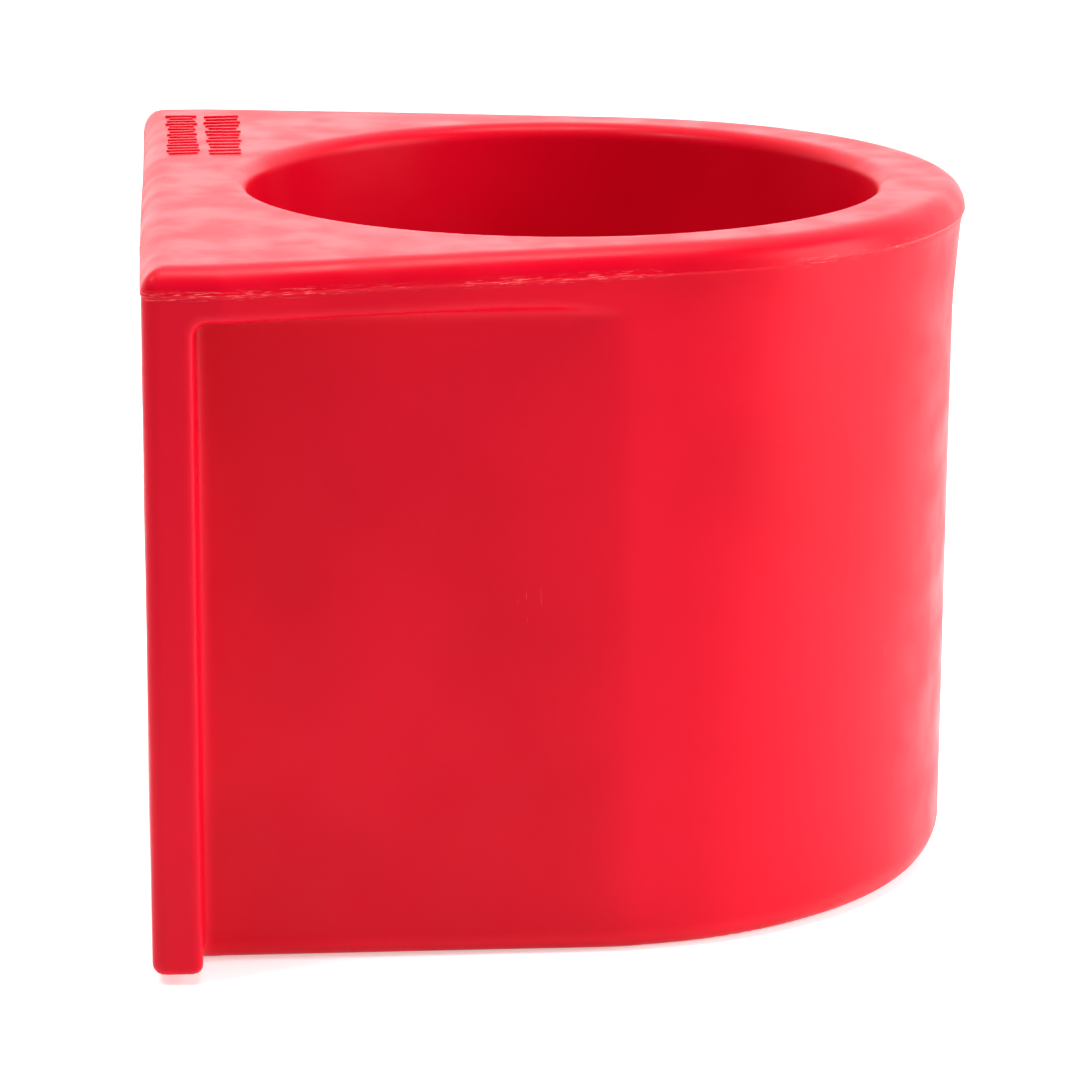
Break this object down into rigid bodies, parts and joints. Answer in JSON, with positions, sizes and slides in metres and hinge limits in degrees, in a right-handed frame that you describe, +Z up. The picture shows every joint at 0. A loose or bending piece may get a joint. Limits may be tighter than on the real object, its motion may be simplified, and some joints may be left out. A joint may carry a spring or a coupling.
{
  "type": "bucket holder",
  "caption": "Wall-mounted insulated bucket holder: a D-shaped double-walled plastic moulding with a deep round pocket, a flat back and screw flanges.",
  "frame": {"origin": "middle of the base's bounding rectangle, on the surface that the holder stands on; the wall plane is at x = -0.203", "axes": "+X away from the wall, +Y along the wall, +Z up"},
  "size_m": [0.406, 0.457, 0.338],
  "materials": {
    "shell": "red moulded polyethylene with a low waxy sheen",
    "foam_core": "rigid poured polyurethane foam",
    "plugs": "red moulded polyethylene"
  },
  "bodies": {
    "root": {"shell": "shell", "foam_core": "foam_core", "fill_plug": "plugs", "vent_plugs": "plugs"}
  },
  "joints": []
}
